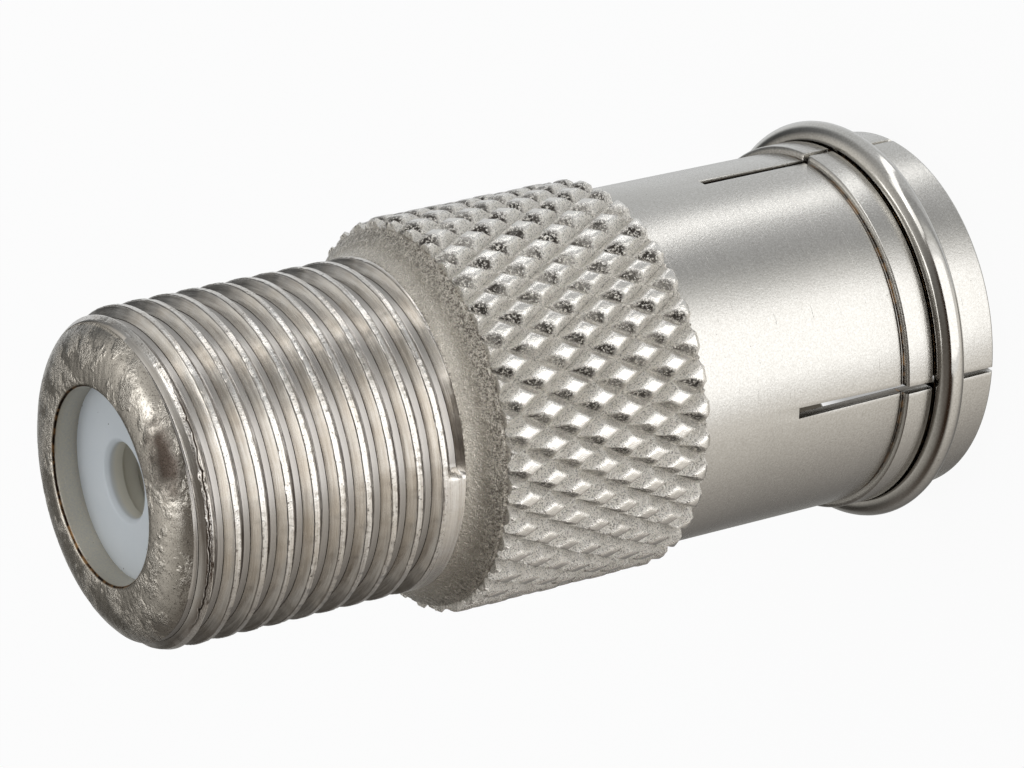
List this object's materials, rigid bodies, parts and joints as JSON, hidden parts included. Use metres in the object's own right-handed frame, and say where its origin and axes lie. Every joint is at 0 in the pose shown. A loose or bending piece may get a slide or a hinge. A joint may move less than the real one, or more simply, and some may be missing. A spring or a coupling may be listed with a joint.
{
  "type": "f connector adapter",
  "caption": "Coaxial F adapter: threaded jack with white insulator, diamond-knurled grip, slotted push-on sleeve squeezed by a round spring ring.",
  "frame": {"origin": "centre of the push-on sleeve's lip, on its end face", "axes": "+Z along the connector's axis, from the push-on lip up to the threaded jack; +X and +Y each through a slot of the sleeve"},
  "size_m": [0.0118, 0.0118, 0.026],
  "materials": {
    "cast_nickel": "satin nickel on a die-cast body",
    "turned_nickel": "nickel on turned metal, fine turning marks",
    "spring_wire": "smooth drawn spring wire",
    "white_insulator": "matt moulded plastic",
    "contact_metal": "tinned spring bronze and nickelled brass"
  },
  "bodies": {
    "root": {"body": "cast_nickel", "sleeve": "turned_nickel", "spring_ring": "spring_wire", "front_insulator": "white_insulator", "rear_insulator": "white_insulator", "socket_contact": "contact_metal", "centre_pin": "contact_metal"}
  },
  "joints": []
}
